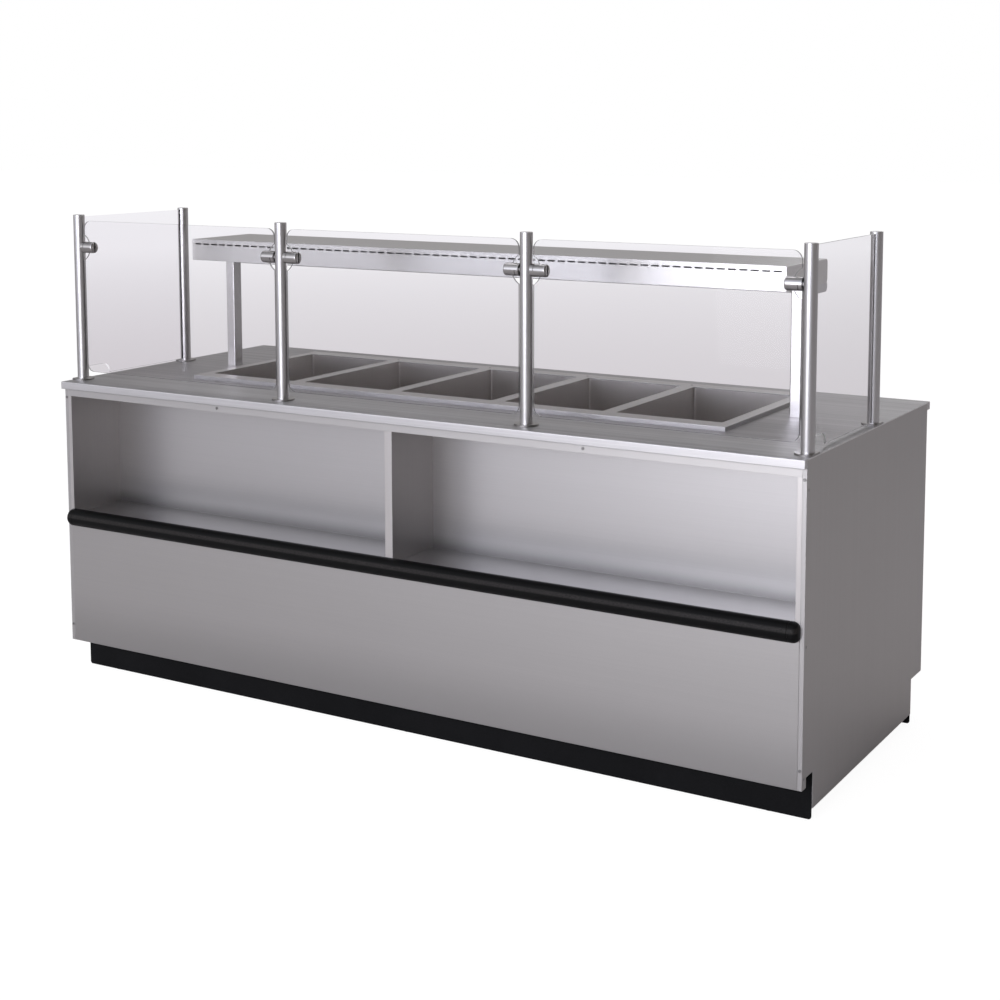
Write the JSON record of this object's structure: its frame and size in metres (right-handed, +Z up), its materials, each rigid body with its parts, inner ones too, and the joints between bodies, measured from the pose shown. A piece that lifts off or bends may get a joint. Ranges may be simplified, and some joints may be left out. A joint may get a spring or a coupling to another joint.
{
  "type": "hot buffet counter",
  "caption": "Stainless hot buffet counter with heated food wells, open front niches, a black bumper, a tilting glass guard and an overhead shelf with a heat strip.",
  "frame": {"origin": "on the floor, in the middle of the counter's length and depth", "axes": "+X along the counter to the customer's right, +Y from the customer to the operator, +Z up"},
  "size_m": [2.408, 0.9879, 1.422],
  "materials": {
    "satin_steel": "satin brushed stainless",
    "worktop_steel": "brushed stainless, grain along the length",
    "well_steel": "drawn stainless, dulled by heat",
    "niche_steel": "satin brushed stainless",
    "shelf_steel": "satin brushed stainless",
    "polished_steel": "fine brushed, nearly bright stainless tube",
    "frame_steel": "mill finish steel",
    "foot_steel": "zinc plated",
    "element_steel": "heat-darkened sheath",
    "drain_brass": "plain brass",
    "track_aluminium": "anodised",
    "guard_glass": "clear tempered glass",
    "bumper_vinyl": "black vinyl, soft sheen",
    "kick_black": "satin black",
    "control_black": "moulded black",
    "control_red": "moulded red",
    "insulation": "mineral wool board"
  },
  "bodies": {
    "counter": {"base_frame": "frame_steel", "bumper_rail": "bumper_vinyl", "cabinet_floor": "frame_steel", "cable_gland": "control_black", "control_panel": "satin_steel", "countertop": "worktop_steel", "door_mullion": "satin_steel", "door_tracks": "track_aluminium", "drain_pipes": "drain_brass", "drain_valve_body": "drain_brass", "end_glasses": "guard_glass", "front_kick_plate": "kick_black", "front_lower_panel": "satin_steel", "guard_posts": "polished_steel", "heat_strip_housing": "shelf_steel", "heater_rods": "element_steel", "heating_elements": "element_steel", "left_end_panel": "satin_steel", "levelling_feet": "foot_steel", "niche_divider": "niche_steel", "niche_liner": "niche_steel", "niche_rail": "satin_steel", "niche_sides": "niche_steel", "overhead_shelf": "shelf_steel", "panel_screws": "polished_steel", "pilot_lamps": "control_red", "pivot_pins": "polished_steel", "post_flanges": "polished_steel", "rear_kick_plate": "kick_black", "right_end_panel": "satin_steel", "shelf_end_caps": "shelf_steel", "shelf_supports": "shelf_steel", "switch_bodies": "control_black", "thermostats": "control_black", "well_casing": "frame_steel", "well_insulation": "insulation", "well_pan_1": "well_steel", "well_pan_2": "well_steel", "well_pan_3": "well_steel", "well_pan_4": "well_steel", "well_pan_5": "well_steel", "well_rim": "worktop_steel"},
    "drain_lever": {"drain_valve_lever": "control_red"},
    "power_rocker": {"power_rocker": "control_red"},
    "heat_strip_rocker": {"heat_strip_rocker": "control_red"},
    "front_glass_left": {"front_glass_left": "guard_glass", "glass_clamps_left": "polished_steel"},
    "front_glass_centre": {"front_glass_centre": "guard_glass", "glass_clamps_centre": "polished_steel"},
    "front_glass_right": {"front_glass_right": "guard_glass", "glass_clamps_right": "polished_steel"},
    "knob_1": {"knob_1": "control_black"},
    "knob_2": {"knob_2": "control_black"},
    "knob_3": {"knob_3": "control_black"},
    "knob_4": {"knob_4": "control_black"},
    "knob_5": {"knob_5": "control_black"},
    "sliding_door_1": {"sliding_door_1": "satin_steel"},
    "sliding_door_2": {"sliding_door_2": "satin_steel"},
    "sliding_door_3": {"sliding_door_3": "satin_steel"},
    "sliding_door_4": {"sliding_door_4": "satin_steel"}
  },
  "joints": [
    {"name": "glass_tilt_left", "type": "hinge", "parent": "counter", "child": "front_glass_left", "pos_m": [-0.793, -0.409, 1.323], "axis": [-1, 0, 0], "range_deg": [0, 90]},
    {"name": "glass_tilt_centre", "type": "hinge", "parent": "counter", "child": "front_glass_centre", "pos_m": [0, -0.409, 1.323], "axis": [-1, 0, 0], "range_deg": [0, 90]},
    {"name": "glass_tilt_right", "type": "hinge", "parent": "counter", "child": "front_glass_right", "pos_m": [0.793, -0.409, 1.323], "axis": [-1, 0, 0], "range_deg": [0, 90]},
    {"name": "knob_turn_1", "type": "hinge", "parent": "counter", "child": "knob_1", "pos_m": [-0.703, 0.459, 0.8265], "axis": [0, -1, 0], "range_deg": [0, 270]},
    {"name": "knob_turn_2", "type": "hinge", "parent": "counter", "child": "knob_2", "pos_m": [-0.3515, 0.459, 0.8265], "axis": [0, -1, 0], "range_deg": [0, 270]},
    {"name": "knob_turn_3", "type": "hinge", "parent": "counter", "child": "knob_3", "pos_m": [0, 0.459, 0.8265], "axis": [0, -1, 0], "range_deg": [0, 270]},
    {"name": "knob_turn_4", "type": "hinge", "parent": "counter", "child": "knob_4", "pos_m": [0.3515, 0.459, 0.8265], "axis": [0, -1, 0], "range_deg": [0, 270]},
    {"name": "knob_turn_5", "type": "hinge", "parent": "counter", "child": "knob_5", "pos_m": [0.703, 0.459, 0.8265], "axis": [0, -1, 0], "range_deg": [0, 270]},
    {"name": "power_rocker_tilt", "type": "hinge", "parent": "counter", "child": "power_rocker", "pos_m": [1.003, 0.456, 0.8265], "axis": [1, 0, 0], "range_deg": [0, 20]},
    {"name": "heat_strip_rocker_tilt", "type": "hinge", "parent": "counter", "child": "heat_strip_rocker", "pos_m": [1.063, 0.456, 0.8265], "axis": [1, 0, 0], "range_deg": [0, 20]},
    {"name": "drain_lever_turn", "type": "hinge", "parent": "counter", "child": "drain_lever", "pos_m": [1.09, 0.122, 0.4155], "axis": [0, 1, 0], "range_deg": [0, 90]},
    {"name": "door_slide_1", "type": "slide", "parent": "counter", "child": "sliding_door_1", "axis": [1, 0, 0], "range_m": [0, 0.569]},
    {"name": "door_slide_2", "type": "slide", "parent": "counter", "child": "sliding_door_2", "axis": [-1, 0, 0], "range_m": [0, 0.569]},
    {"name": "door_slide_3", "type": "slide", "parent": "counter", "child": "sliding_door_3", "axis": [1, 0, 0], "range_m": [0, 0.569]},
    {"name": "door_slide_4", "type": "slide", "parent": "counter", "child": "sliding_door_4", "axis": [-1, 0, 0], "range_m": [0, 0.569]}
  ]
}
